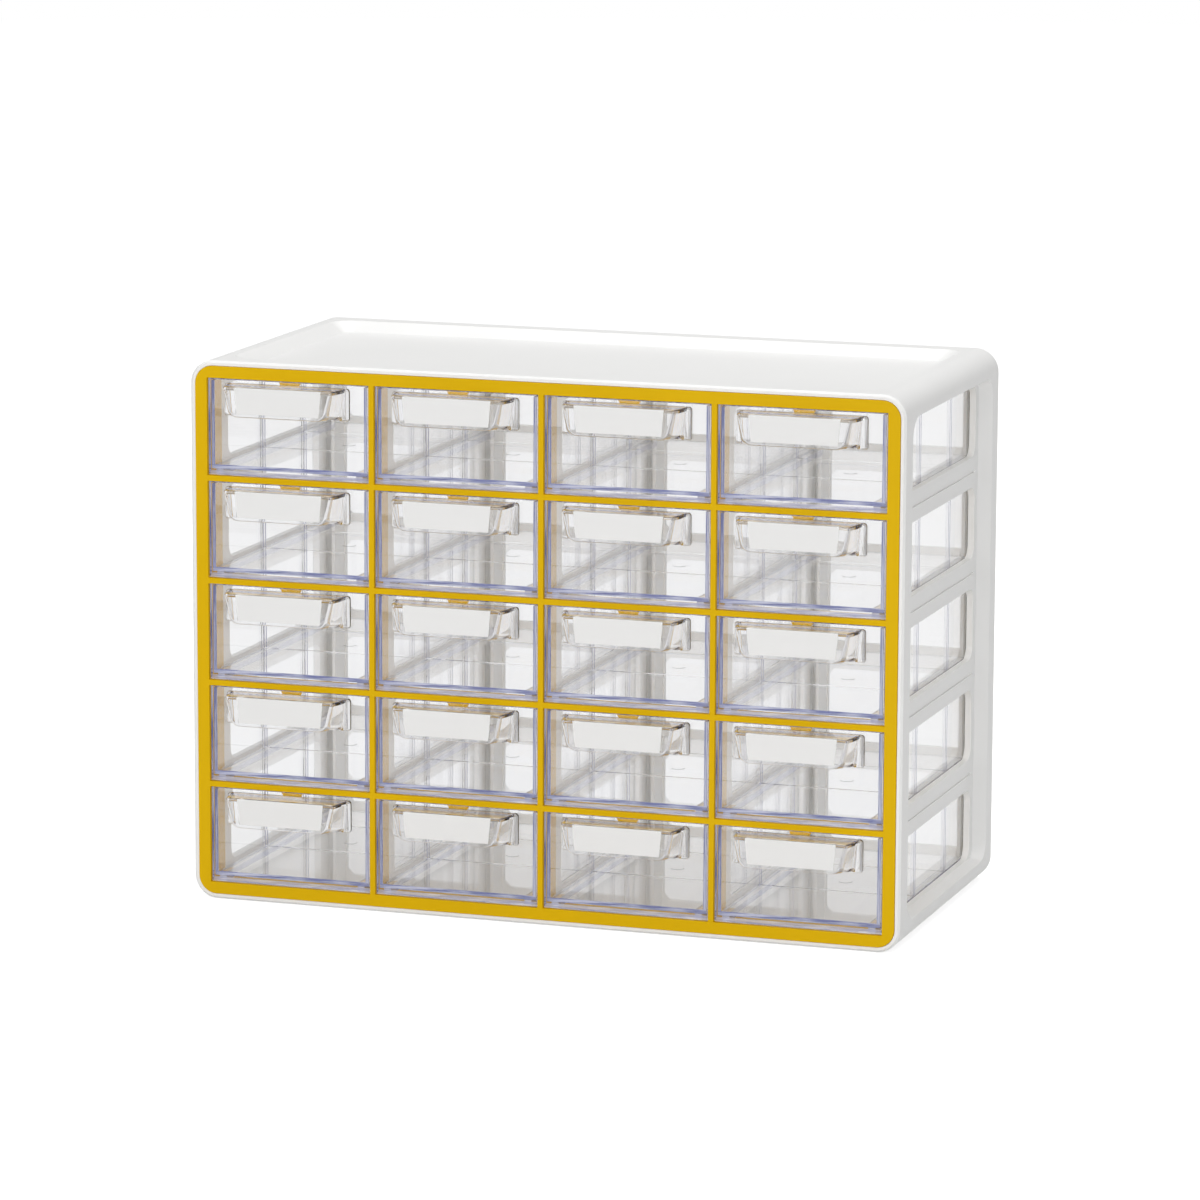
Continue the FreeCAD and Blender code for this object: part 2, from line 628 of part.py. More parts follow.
def drawer_dividers(body):
    """Two pairs of upright ribs on each side wall, and a line across the floor between them."""
    inner_x = f"({TUB_X} - tub_wall)"
    tip_x = f"({inner_x} - rib_proud)"
    full_height = f"({TUB_TOP} - {TUB_FLOOR_TOP} - rib_proud)"
    for name, near, height in (
            ("rear_ribs", "divider_slot / 2", full_height),
            ("front_ribs", "-divider_slot / 2 - divider_rib", f"{full_height} - rib_lead")):
        profile = sketch_on(body, f"{name}_profile", "XY_Plane", TUB_FLOOR_TOP)
        for slot in ("divider_front", "(divider_front + divider_pitch)"):
            low = f"{slot} + {near}"
            high = f"{low} + divider_rib"
            rectangle(profile, tip_x, inner_x, low, high)
            rectangle(profile, f"-{inner_x}", f"-{tip_x}", low, high)
        solid_from(body, profile, name, height)

    line = sketch_on(body, "floor_line_profile", "XY_Plane", TUB_FLOOR_TOP)
    for slot in ("divider_front", "(divider_front + divider_pitch)"):
        rectangle(line, f"-{inner_x}", inner_x, f"{slot} - divider_slot / 2",
                  f"{slot} + divider_slot / 2")
    cut_from(body, line, "floor_lines", "floor_line")


def drawer_pull(body):
    """Hood in front of the plate, open below for the fingers, with a slot for the card."""
    foot_rear = f"({PULL_FOOT} - pull_skirt)"
    side = sketch_on(body, "pull_side_profile", "YZ_Plane")
    outline(side, [
        (PULL_FACE_Y, PULL_FOOT),
        ("plate_inset", foot_rear),
        ("plate_inset", PULL_TOP),
        (PULL_FACE_Y, PULL_TOP),
    ])
    solid_from(body, side, "pull_block", "pull_width", both_ways=True)

    # each side narrows to the front in two planes: an upright one, and below it one that leans
    # in to the foot of the face and ends in the face's rounded corner; both cuts run clear past
    # the block
    collar_y = "(plate_inset - collar_depth)"
    taper = sketch_on(body, "pull_taper_profile", "XY_Plane", f"{PULL_TOP} + pull_skirt")
    outline(taper, [
        ("pull_face_top / 2", PULL_FACE_Y),
        ("pull_face_top / 2", f"{PULL_FACE_Y} - pull_wall"),
        ("pull_width / 2 + pull_wall", f"{PULL_FACE_Y} - pull_wall"),
        ("pull_width / 2 + pull_wall", collar_y),
        ("pull_width / 2", collar_y),
    ])
    upright = cut_from(body, taper, "pull_taper", "pull_height + 3 * pull_skirt")
    mirrored(body, upright, "pull_tapers")

    shift_x = "((pull_width - pull_face_foot) / 2)"
    shift_z = "(pull_skirt * (pull_depth - collar_depth) / pull_depth)"
    lean = "((pull_face_top - pull_face_foot) / 2)"
    slope = f"({lean} / pull_height)"
    sections = []
    for name, y_place, x_move, z_move in (("near", PULL_FACE_Y, "0", "0"),
                                          ("far", collar_y, shift_x, shift_z)):
        foot_x = f"(pull_face_foot / 2 + {x_move})"
        foot_z = f"({PULL_FOOT} - {z_move})"
        outer_x = f"({foot_x} + 2 * {lean})"
        section = upright_sketch(body, f"pull_lean_{name}", y_place)
        outline(section, [
            (f"{foot_x} - pull_corner", foot_z),
            (outer_x, foot_z),
            (outer_x, f"{foot_z} + 2 * pull_height"),
            (f"{foot_x} + {slope} * pull_corner", f"{foot_z} + pull_corner"),
            (f"{foot_x} - pull_corner * corner_bulge", f"{foot_z} + pull_corner * corner_bulge"),
        ])
        sections.append(section)
    leaning = loft(body, "Subtractive", "pull_lean", *sections)
    mirrored(body, leaning, "pull_leans")

    collar_x = "(pull_width / 2 + collar_step)"
    collar = upright_sketch(body, "collar_profile", collar_y)
    rectangle(collar, f"-{collar_x}", collar_x, foot_rear, PULL_TOP)
    solid_from(body, collar, "collar", "collar_depth", towards_rear=True)

    below = f"({foot_rear} - pull_skirt)"
    ceiling = f"({PULL_TOP} - pull_wall)"
    narrowing = f"({slope} * ({ceiling} - {below}))"
    inner_rear = "(pull_width / 2 - pull_wall)"
    share = f"({FACE_THICK} / (pull_depth - collar_depth))"
    inner_near = (f"(pull_face_top / 2 * (1 - {share}) + pull_width / 2 * {share}"
                  " - pull_front_wall)")
    ends = []
    for name, y_place, half in (("rear", "plate_inset", inner_rear),
                                ("near", f"{PULL_FACE_Y} + {FACE_THICK}", inner_near)):
        section = upright_sketch(body, f"finger_{name}", y_place)
        outline(section, [
            (f"-({half} - {narrowing})", below),
            (f"{half} - {narrowing}", below),
            (half, ceiling),
            (f"-{half}", ceiling),
        ])
        ends.append(section)
    loft(body, "Subtractive", "finger_space", *ends)

    slot = upright_sketch(body, "card_slot_profile", f"{PULL_FACE_Y} + card_cover")
    outline(slot, [
        ("-card_foot / 2 - fit_gap", CARD_FOOT_Z),
        ("card_foot / 2 + fit_gap", CARD_FOOT_Z),
        ("card_top / 2 + fit_gap", PULL_TOP),
        ("-card_top / 2 - fit_gap", PULL_TOP),
    ])
    cut_from(body, slot, "card_slot", "card_slot")


def drawer(label, x_place, z_place):
    """Clear drawer in one moulding."""
    body = new_body(label, x_place, GRID_FACE_Y, z_place)
    drawer_tub(body)
    drawer_dividers(body)
    drawer_pull(body)
    return body


def label_card(label, x_place, z_place):
    """Card in the slot of a pull."""
    body = new_body(label, x_place, GRID_FACE_Y, z_place)
    middle = "(card_cover + card_slot / 2 - card_thick / 2)"
    profile = upright_sketch(body, "card_profile", f"{PULL_FACE_Y} + {middle}")
    outline(profile, [
        ("-card_foot / 2", CARD_FOOT_Z),
        ("card_foot / 2", CARD_FOOT_Z),
        ("card_top / 2", f"{CARD_FOOT_Z} + card_height"),
        ("-card_top / 2", f"{CARD_FOOT_Z} + card_height"),
    ])
    solid_from(body, profile, "card", "card_thick", towards_rear=True)
    return body


# ---------------------------------------------------------------- assembly

def assemble():
    """Every piece of the cabinet, as a list of bodies."""
    pieces = [case_shell(), front_grid(), rear_panel()]
    columns = round(reading("columns"))
    rows = round(reading("rows"))

    upright = partition("partition_1")
    pieces.append(upright)
    for number in range(2, columns):
        x_place = f"{FIRST_BAR_X} + {number - 1} * {PITCH_X}"
        pieces.append(copy_of(upright, f"partition_{number}", x_place))

    masters = None
    for row in range(1, rows + 1):
        for column in range(1, columns + 1):
            name = f"r{row}_c{column}"
            x_place = f"{FIRST_X} + {column - 1} * {PITCH_X}"
            z_place = f"{FIRST_Z} + {rows - row} * {PITCH_Z}"
            if masters is None:
                masters = (drawer(f"drawer_{name}", x_place, z_place),
                           label_card(f"label_card_{name}", x_place, z_place))
                pieces.extend(masters)
                continue
            pieces.append(copy_of(masters[0], f"drawer_{name}", x_place, GRID_FACE_Y, z_place))
            pieces.append(copy_of(masters[1], f"label_card_{name}", x_place, GRID_FACE_Y, z_place))
    return pieces


def checked(pieces):
    """Stops if any object failed or any piece is not one valid solid."""
    failed = [item.Name for item in doc.Objects
              if "Invalid" in item.State or "Error" in item.State]
    if failed:
        raise RuntimeError(f"failed objects: {failed}")
    for piece in pieces:
        shape = piece.Shape
        if shape.isNull() or not shape.isValid() or len(shape.Solids) != 1:
            raise RuntimeError(f"{piece.Label} is not one valid solid")


pieces = assemble()
doc.recompute()
checked(pieces)
os.makedirs("parts", exist_ok=True)
for piece in pieces:
    piece.Shape.exportStep(f"parts/{piece.Label}.step")
print(f"{len(pieces)} pieces, drawer travel {reading(TRAVEL):.2f} mm")
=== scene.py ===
"""Looks for the drawer cabinet: clear drawers, yellow grid and white case in soft studio light."""

import math

import bmesh
import bpy
from mathutils import Matrix, Vector


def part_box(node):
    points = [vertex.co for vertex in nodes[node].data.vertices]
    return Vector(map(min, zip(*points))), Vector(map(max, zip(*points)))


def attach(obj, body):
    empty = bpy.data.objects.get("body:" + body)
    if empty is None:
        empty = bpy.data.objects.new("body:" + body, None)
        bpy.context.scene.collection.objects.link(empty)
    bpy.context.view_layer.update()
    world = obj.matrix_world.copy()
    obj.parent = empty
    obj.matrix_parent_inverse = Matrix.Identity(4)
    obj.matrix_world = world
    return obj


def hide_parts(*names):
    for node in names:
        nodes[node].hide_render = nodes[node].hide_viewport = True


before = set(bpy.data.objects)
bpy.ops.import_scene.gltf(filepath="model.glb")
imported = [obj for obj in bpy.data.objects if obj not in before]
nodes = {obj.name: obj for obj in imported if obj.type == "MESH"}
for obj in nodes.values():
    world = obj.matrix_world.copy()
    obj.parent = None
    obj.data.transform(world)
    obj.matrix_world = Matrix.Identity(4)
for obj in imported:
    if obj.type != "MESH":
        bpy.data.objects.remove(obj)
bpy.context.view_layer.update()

MM = 0.001
SEEN_THROUGH = 0.92                      # brightness of the surroundings behind clear plastic
AMBIENT = 0.42                           # strength of the surroundings
GAP = 0.42                               # brightness of the gaps between the white panels
FLOOR_TONE = 0.80                        # the floor's own grey
BOUNCE_TONE = 0.66                       # its grey where it only throws light on the cabinet
FLOOR_GLOW = 0.66                        # lifts the floor to white around the shadow

CABINET_MIDDLE = Vector((0, 0, 0.15))
NEAR = 0.1 * MM                          # a face or point this close to a place lies on it
OVERLAP = 0.2 * MM                       # how far one solid reaches into the one it joins

# ---------------------------------------------------------------- sizes read from the frame

DRAWER = "drawer_r1_c1"
low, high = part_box(DRAWER)
card_low, card_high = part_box("label_card_r1_c1")
grid_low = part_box("front_grid")[0]
case_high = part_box("case_shell")[1]

SIDE_BED = case_high[0] - 6.0 * MM       # sunken face around the side windows
WINDOW_END = 69.2 * MM                   # front and rear ends of the side windows

CELL_X = (low[0] + high[0]) / 2          # middle of the first drawer
FACE_Y = grid_low[1]                     # front of the grid: zero of a drawer's own depth
RUN_GAP = 0.35 * MM
CELL_Z = low[2] - RUN_GAP                # bottom of the first drawer's cell

PLATE_X = (high[0] - low[0]) / 2
PLATE_FRONT = 1.6 * MM
PLATE_REAR = 3.6 * MM
PLATE_TOP = high[2] - CELL_Z
TUB_REAR = high[1] - FACE_Y
TUB_X = PLATE_X - 1.2 * MM
TUB_TOP = PLATE_TOP - 1.25 * MM
TUB_UNDER = RUN_GAP + 3.2 * MM
TUB_FLOOR = TUB_UNDER + 2.3 * MM
WALL = 2.0 * MM
SEAM = 0.03 * MM                         # between the front plate's solid and the tub's

PULL_FRONT = low[1] - FACE_Y
PULL_TOP = PLATE_TOP - 1.95 * MM
PULL_FOOT = PULL_TOP - 16.3 * MM
PULL_SKIRT = 1.5 * MM                    # how much lower the pull is at the drawer front
CARD_DROP = 1.8 * MM                     # how far card and slot reach below the card's node
CARD_TAPER = 0.2 * MM                    # how much narrower each side is there
CARD_FOOT = card_low[2] - CELL_Z - CARD_DROP

DIVIDERS = (72 * MM, 135 * MM)           # places of the divider ribs and floor lines
RIB_REACH = 1.5 * MM                     # from the tub's wall
RIB_THICK = 1.4 * MM
LOW_EDGE = 2.3 * MM                      # height of the front plate's thinner lower edge


# ---------------------------------------------------------------- materials

def shader(name):
    """A new material and its node tree, emptied but for the output."""
    material = bpy.data.materials.new(name)
    material.use_nodes = True
    tree = material.node_tree
    tree.nodes.clear()
    output = tree.nodes.new("ShaderNodeOutputMaterial")
    return material, tree, output


def add(tree, kind, **values):
    """A node with the given inputs set.  Underscores in a name stand for spaces."""
    node = tree.nodes.new(kind)
    for name, value in values.items():
        node.inputs[name.replace("_", " ")].default_value = value
    return node


def grain(tree, scale, detail=4.0, roughness=0.55, stretch=(1.0, 1.0, 1.0)):
    """Noise laid out in the object's own metres."""
    place = tree.nodes.new("ShaderNodeTexCoord")
    mapping = tree.nodes.new("ShaderNodeMapping")
    mapping.inputs["Scale"].default_value = stretch
    noise = add(tree, "ShaderNodeTexNoise", Scale=scale, Detail=detail, Roughness=roughness)
    tree.links.new(place.outputs["Object"], mapping.inputs["Vector"])
    tree.links.new(mapping.outputs["Vector"], noise.inputs["Vector"])
    return noise


def spread(tree, source, low_value, high_value, low_at=0.3, high_at=0.7):
    """A number from a texture, spread between two values."""
    node = tree.nodes.new("ShaderNodeMapRange")
    node.inputs["From Min"].default_value = low_at
    node.inputs["From Max"].default_value = high_at
    node.inputs["To Min"].default_value = low_value
    node.inputs["To Max"].default_value = high_value
    tree.links.new(source, node.inputs["Value"])
    return node.outputs["Result"]


def calculated(tree, operation, *values):
    """A number worked out from other outputs or from plain numbers."""
    node = tree.nodes.new("ShaderNodeMath")
    node.operation = operation
    for socket, value in zip(node.inputs, values):
        if isinstance(value, (int, float)):
            socket.default_value = value
        else:
            tree.links.new(value, socket)
    return node.outputs["Value"]


def mixed(tree, factor, first, second):
    """The first shader where the factor is 0, and the second where it is 1."""
    mix = tree.nodes.new("ShaderNodeMixShader")
    tree.links.new(factor, mix.inputs["Fac"])
    tree.links.new(first, mix.inputs[1])
    tree.links.new(second, mix.inputs[2])
    return mix.outputs["Shader"]


def relief(tree, surface, height, strength, distance):
    """Small bumps on a surface, by a number."""
    bump = add(tree, "ShaderNodeBump", Strength=strength, Distance=distance)
    tree.links.new(height, bump.inputs["Height"])
    tree.links.new(bump.outputs["Normal"], surface.inputs["Normal"])


def tinted(tree, source, dark, light):
    """A colour between two, by a number."""
    mix = tree.nodes.new("ShaderNodeMix")
    mix.data_type = "RGBA"
    mix.inputs["A"].default_value = (*dark, 1)
    mix.inputs["B"].default_value = (*light, 1)
    tree.links.new(source, mix.inputs["Factor"])
    return mix.outputs["Result"]


def moulded_plastic(name, dark, light, gloss, shine, bump, sheen_scale=9.0):
    """Opaque moulded plastic: cloudy colour, fine satin grain and slow waves from the mould."""
    material, tree, output = shader(name)
    plastic = add(tree, "ShaderNodeBsdfPrincipled", IOR=1.49, Specular_IOR_Level=shine)
    cloud = grain(tree, sheen_scale, detail=3.0)
    colour = tinted(tree, spread(tree, cloud.outputs["Fac"], 0, 1), dark, light)
    tree.links.new(colour, plastic.inputs["Base Color"])
    fine = grain(tree, 900.0, detail=2.0)
    tree.links.new(spread(tree, fine.outputs["Fac"], gloss[0], gloss[1]),
                   plastic.inputs["Roughness"])
    wave = grain(tree, 28.0, detail=2.0)
    fine_share = 0.12
    height = calculated(tree, "MULTIPLY_ADD", fine.outputs["Fac"], fine_share,
                        wave.outputs["Fac"])
    relief(tree, plastic, height, bump, 0.12 * MM)
    tree.links.new(plastic.outputs["BSDF"], output.inputs["Surface"])
    return material


def straight_through(tree, output, surface, tint):
    """Lets lamplight and scattered light pass a clear wall unbent, so it reaches what is inside."""
    passing = add(tree, "ShaderNodeBsdfTransparent", Color=(*tint, 1))
    path = tree.nodes.new("ShaderNodeLightPath")
    either = calculated(tree, "MAXIMUM", path.outputs["Is Shadow Ray"],
                        path.outputs["Is Diffuse Ray"])
    tree.links.new(mixed(tree, either, surface, passing.outputs["BSDF"]),
                   output.inputs["Surface"])


def clear_plastic(name, colour, gloss, bump):
    """Clear polystyrene that bends light."""
    material, tree, output = shader(name)
    plastic = add(tree, "ShaderNodeBsdfPrincipled", IOR=1.55, Base_Color=(*colour, 1))
    plastic.inputs["Transmission Weight"].default_value = 1.0
    flow = grain(tree, 60.0, detail=2.0, stretch=(1.0, 0.15, 1.0))
    tree.links.new(spread(tree, flow.outputs["Fac"], gloss[0], gloss[1]),
                   plastic.inputs["Roughness"])
    relief(tree, plastic, flow.outputs["Fac"], bump, 0.05 * MM)
    straight_through(tree, output, plastic.outputs["BSDF"], (1.0, 1.0, 1.0))
    return material


def streaks(tree):
    """Streaks of painted light and shade along the narrow side of a wall: level at the drawer's
    foot and upright above.
    """
    level = grain(tree, 900.0, detail=3.0, stretch=(0.05, 0.05, 1.0))
    upright = grain(tree, 900.0, detail=3.0, stretch=(1.0, 0.2, 0.05))
    place = tree.nodes.new("ShaderNodeTexCoord")
    parts = tree.nodes.new("ShaderNodeSeparateXYZ")
    tree.links.new(place.outputs["Object"], parts.inputs["Vector"])
    above = calculated(tree, "GREATER_THAN", parts.outputs["Z"], TUB_FLOOR)
    mix = tree.nodes.new("ShaderNodeMix")
    tree.links.new(above, mix.inputs["Factor"])
    tree.links.new(level.outputs["Fac"], mix.inputs["A"])
    tree.links.new(upright.outputs["Fac"], mix.inputs["B"])
    return mix.outputs["Result"]


def clear_edge(name, dark, light, clearness):
    """The narrow side of a clear wall, where light that ran down the wall comes out tinted: the
    blue is partly the plastic's own tint and partly painted light, in streaks of painted glow and
    shade.
    """
    material, tree, output = shader(name)
    edge = add(tree, "ShaderNodeBsdfPrincipled", Roughness=0.22, IOR=1.55)
    edge.inputs["Transmission Weight"].default_value = clearness
    # painted glow and shade: the brightness of the guided light is drawn as colour streaks
    colour = tinted(tree, spread(tree, streaks(tree), 0, 1, low_at=0.38, high_at=0.62), dark, light)
    tree.links.new(colour, edge.inputs["Base Color"])
    straight_through(tree, output, edge.outputs["BSDF"], (0.93, 0.94, 0.99))
    return material


def card_stock(name):
    """Uncoated card with paper fibres."""
    material, tree, output = shader(name)
    card = add(tree, "ShaderNodeBsdfPrincipled", IOR=1.4, Roughness=0.85)
    fibre = grain(tree, 1400.0, detail=5.0, stretch=(1.0, 1.0, 2.5))
    colour = tinted(tree, spread(tree, fibre.outputs["Fac"], 0, 1),
                    (0.85, 0.845, 0.83), (0.91, 0.905, 0.89))
    tree.links.new(colour, card.inputs["Base Color"])
    relief(tree, card, fibre.outputs["Fac"], 0.3, 0.02 * MM)
    tree.links.new(card.outputs["BSDF"], output.inputs["Surface"])
    return material


WHITE = moulded_plastic("white_moulding", (0.91, 0.908, 0.897), (0.935, 0.933, 0.922),
                        gloss=(0.30, 0.42), shine=0.4, bump=0.25)
YELLOW = moulded_plastic("yellow_moulding", (0.75, 0.46, 0.0), (0.79, 0.485, 0.0),
                         gloss=(0.30, 0.42), shine=0.12, bump=0.30)
CLEAR = clear_plastic("clear_polystyrene", (0.988, 0.989, 0.994), gloss=(0.0, 0.012),
                      bump=0.004)
# Edge materials: the light guided along the clear walls is painted on as blue colour, partly the
# plastic's own tint, with streaks of painted glow and shade.
EDGE = clear_edge("clear_polystyrene_edge", (0.10, 0.13, 0.42), (0.66, 0.70, 0.92),
                  clearness=0.25)
FAINT = clear_edge("clear_polystyrene_foot", (0.42, 0.44, 0.68), (0.82, 0.84, 0.95),
                   clearness=0.5)
RIB = clear_edge("clear_polystyrene_rib", (0.34, 0.36, 0.58), (0.58, 0.60, 0.82),
                 clearness=0.4)
CARD = card_stock("label_card_stock")


# ---------------------------------------------------------------- mesh tools

def object_from(bm, name, *materials):
    """A new object from a bmesh, which is freed."""
    mesh = bpy.data.meshes.new(name)
    bm.to_mesh(mesh)
    bm.free()
    made = bpy.data.objects.new(name, mesh)
    bpy.context.scene.collection.objects.link(made)
    for material in materials:
        mesh.materials.append(material)
    return made


def block(name, x0, x1, y0, y1, z0, z1):
    """A closed block between the given places."""
    bm = bmesh.new()
    bmesh.ops.create_cube(bm, size=1.0)
    for vert in bm.verts:
        vert.co = Vector((x0 if vert.co.x < 0 else x1,
                          y0 if vert.co.y < 0 else y1,
                          z0 if vert.co.z < 0 else z1))
    return object_from(bm, name)


def skin(name, rings):
    """A closed solid through rings of points, front to rear, with flat ends."""
    bm = bmesh.new()
    loops = [[bm.verts.new(point) for point in ring] for ring in rings]
    count = len(loops[0])
    for near, far in zip(loops, loops[1:]):
        for i in range(count):
            j = (i + 1) % count
            bm.faces.new((near[i], near[j], far[j], far[i]))
    bm.faces.new(reversed(loops[0]))
    bm.faces.new(loops[-1])
    bmesh.ops.recalc_face_normals(bm, faces=bm.faces)
    return object_from(bm, name)


def apply_modifiers(piece):
    """Bakes the piece's modifiers into its mesh."""
    graph = bpy.context.evaluated_depsgraph_get()
    mesh = bpy.data.meshes.new_from_object(piece.evaluated_get(graph))
    piece.modifiers.clear()
    old = piece.data
    piece.data = mesh
    bpy.data.meshes.remove(old)


def combine(base, operation, *others):
    """Joins others to base, or cuts them from it."""
    for other in others:
        change = base.modifiers.new("combine", "BOOLEAN")
        change.operation = operation
        change.solver = "EXACT"
        change.object = other
    apply_modifiers(base)
    for other in others:
        bpy.data.objects.remove(other)
    return base


def merge_flat(piece):
    """Joins the triangles of each flat face of a CAD mesh."""
    bm = bmesh.new()
    bm.from_mesh(piece.data)
    bmesh.ops.remove_doubles(bm, verts=bm.verts, dist=1e-6)
    bmesh.ops.dissolve_limit(bm, angle_limit=math.radians(0.5), verts=bm.verts, edges=bm.edges)
    bm.to_mesh(piece.data)
    bm.free()


def soften(piece, width, segments=2, angle=25.0, wider=None):
    """Small roundings on the sharp edges, with a share of the width given by wider(edge)."""
    rounding = piece.modifiers.new("rounding", "BEVEL")
    rounding.width = width
    rounding.segments = segments
    rounding.limit_method = "ANGLE"
    rounding.angle_limit = math.radians(angle)
    if wider is not None:
        weigh_edges(piece, math.radians(angle), wider)
        rounding.limit_method = "WEIGHT"
    apply_modifiers(piece)
    smooth(piece)
    return piece


def weigh_edges(piece, angle, share):
    """Stores how much of the rounding each sharp edge gets."""
    bm = bmesh.new()
    bm.from_mesh(piece.data)
    weight = bm.edges.layers.float.new("bevel_weight_edge")
    for edge in bm.edges:
        if edge.calc_face_angle(0.0) > angle:
            edge[weight] = share(edge)
    bm.to_mesh(piece.data)
    bm.free()


def smooth(piece, angle=35.0):
    """Smooth shading of the roundings, with the large flat faces kept flat."""
    mesh = piece.data
    for polygon in mesh.polygons:
        polygon.use_smooth = True
    mesh.set_sharp_from_angle(angle=math.radians(angle))
    weighted = piece.modifiers.new("weighted", "WEIGHTED_NORMAL")
    weighted.mode = "FACE_AREA"
    weighted.weight = 100
    weighted.keep_sharp = True
    apply_modifiers(piece)


# ---------------------------------------------------------------- drawer

def hood_ring(y, half_top, half_foot, top, foot, corner, steps=5):
    """Outline of the pull at one depth: square above, with rounded lower corners."""
    lean = math.atan2(half_top - half_foot, top - foot)
    turn = math.pi / 2 - lean            # how far the outline turns at a lower corner
    reach = corner * math.tan(turn / 2)
    points = [Vector((half_top, y, top))]
    side_end = Vector((half_foot + math.sin(lean) * reach, y, foot + math.cos(lean) * reach))
    centre = side_end + Vector((-math.cos(lean), 0, math.sin(lean))) * corner
    for step in range(steps + 1):
        a = lean + turn * step / steps
        points.append(centre + Vector((math.cos(a), 0, -math.sin(a))) * corner)
    mirror = [Vector((-p.x, p.y, p.z)) for p in reversed(points)]
    return points + mirror


def side_reach(depth):
    """How far the pull's side has come out at a depth of 0 (its face) to 1 (the drawer front)."""
    bend = 0.78                          # here the side turns out to meet the flange
    at_bend = 0.62
    fullness = 0.9                       # below 1, the side bulges more near the face
    if depth < bend:
        return at_bend * math.sin(depth / bend * math.pi / 2) ** fullness
    return at_bend + (1 - at_bend) * ((depth - bend) / (1 - bend)) ** 2


def hood(name, inset, front, rear, foot_drop=0.0):
    """The pull's outer skin, or with an inset its finger space."""
    half_rear = 35.9 * MM
    half_top = 31.1 * MM
    half_foot = 26.9 * MM
    flange_lean = 0.5 * MM
    face_corner, corner_loss, least_corner = 5.5, 3.0, 0.6
    rings = []
    steps = 14
    for step in range(steps + 1):
        t = step / steps                 # 0 at the face, 1 at the drawer front
        y = front + (rear - front) * t
        depth = (y - PULL_FRONT) / (PLATE_FRONT - PULL_FRONT)
        depth = min(max(depth, 0.0), 1.0)
        out = side_reach(depth)
        top_x = half_top + (half_rear - half_top) * out
        foot_x = half_foot + (half_rear - flange_lean - half_foot) * out
        foot = PULL_FOOT - PULL_SKIRT * depth - foot_drop
        corner = (face_corner - corner_loss * depth) * MM
        rings.append(hood_ring(y, top_x - inset, foot_x - inset, PULL_TOP - inset,
                               foot, max(corner - inset, least_corner * MM)))
    return skin(name, rings)


def front_plate():
    """The flat front, thinner along its lower edge and with a chamfer around its rear."""
    chamfer = 0.7 * MM
    hollow_depth = 1.1 * MM              # of the rear, along the lower edge
    first_rise = 0.5 * MM
    rings = []
    for y, inset, foot in ((PLATE_FRONT, 0.0, 0.0), (PLATE_REAR - hollow_depth, 0.0, 0.0),
                           (PLATE_REAR - chamfer, 0.0, first_rise),
                           (PLATE_REAR, chamfer, LOW_EDGE)):
        left, right = -PLATE_X + inset, PLATE_X - inset
        under, over = RUN_GAP + foot, PLATE_TOP - inset
        rings.append([Vector((left, y, under)), Vector((right, y, under)),
                      Vector((right, y, over)), Vector((left, y, over))])
    return skin("plate", rings)


def card_slot():
    """The space for the card in the pull's face, open above."""
    near = PULL_FRONT + 1.8 * MM
    depth = 0.8 * MM
    half_foot = 24.1 * MM
    widening = 1.3 * MM                  # from the foot to the pull's top, on each side
    over = PULL_TOP + 2 * MM
    rise = (over - CARD_FOOT) / (PULL_TOP - CARD_FOOT)
    half_over = half_foot + widening * rise
    outline = ((-half_foot, CARD_FOOT), (half_foot, CARD_FOOT), (half_over, over),
               (-half_over, over))
    return skin("slot", [[Vector((x, y, z)) for x, z in outline] for y in (near, near + depth)])


def front_plate_mesh():
    """Front plate and pull, as one closed solid."""
    plate = front_plate()
    outer = hood("hood", 0.0, PULL_FRONT, PLATE_FRONT + OVERLAP)
    soften(outer, 0.8 * MM, segments=3, angle=45.0)
    collar_x = 36.5 * MM
    collar_depth = 3.4 * MM
    collar = block("collar", -collar_x, collar_x, PLATE_FRONT - collar_depth,
                   PLATE_FRONT + OVERLAP, PULL_FOOT - PULL_SKIRT, PULL_TOP)
    soften(collar, 1.6 * MM, segments=3)
    combine(outer, "UNION", collar)
    face_thickness = 3.8 * MM
    fingers = hood("fingers", WALL, PULL_FRONT + face_thickness, PLATE_FRONT,
                   foot_drop=6 * MM)
    combine(outer, "DIFFERENCE", fingers, card_slot())
    combine(plate, "UNION", outer)
    return plate


def round_rear_corners(tub, radius):
    """Rounds the tub's upright rear corners."""
    bm = bmesh.new()
    bm.from_mesh(tub.data)
    upright = [edge for edge in bm.edges
               if all(vert.co.y > TUB_REAR - MM for vert in edge.verts)
               and abs(edge.verts[0].co.z - edge.verts[1].co.z) > MM]
    bmesh.ops.bevel(bm, geom=upright, offset=radius, segments=4, profile=0.5, affect="EDGES")
    bm.to_mesh(tub.data)
    bm.free()


def tub_ribs(side, inner_x):
    """Pairs of upright ribs on one wall, which hold a divider: a tall one and a lower one."""
    wall = side * (inner_x + OVERLAP)
    tip = side * (inner_x - RIB_REACH)
    foot = TUB_FLOOR - 0.7 * MM
    pair = ((0.8 * MM, TUB_TOP - 1.5 * MM), (-2.2 * MM, TUB_TOP - 9.5 * MM))
    return [block("rib", min(wall, tip), max(wall, tip), y + near, y + near + RIB_THICK,
                  foot, top)
            for y in DIVIDERS for near, top in pair]


def gate_mark():
    """The low round mark where the plastic entered the mould."""
    depth = 95 * MM                      # from the grid's face
    place = Matrix.Translation((0, depth, TUB_FLOOR))
    gate = bmesh.new()
    bmesh.ops.create_cone(gate, cap_ends=True, segments=40, radius1=4.0 * MM,
                          radius2=3.4 * MM, depth=0.3 * MM, matrix=place)
    return object_from(gate, "gate")


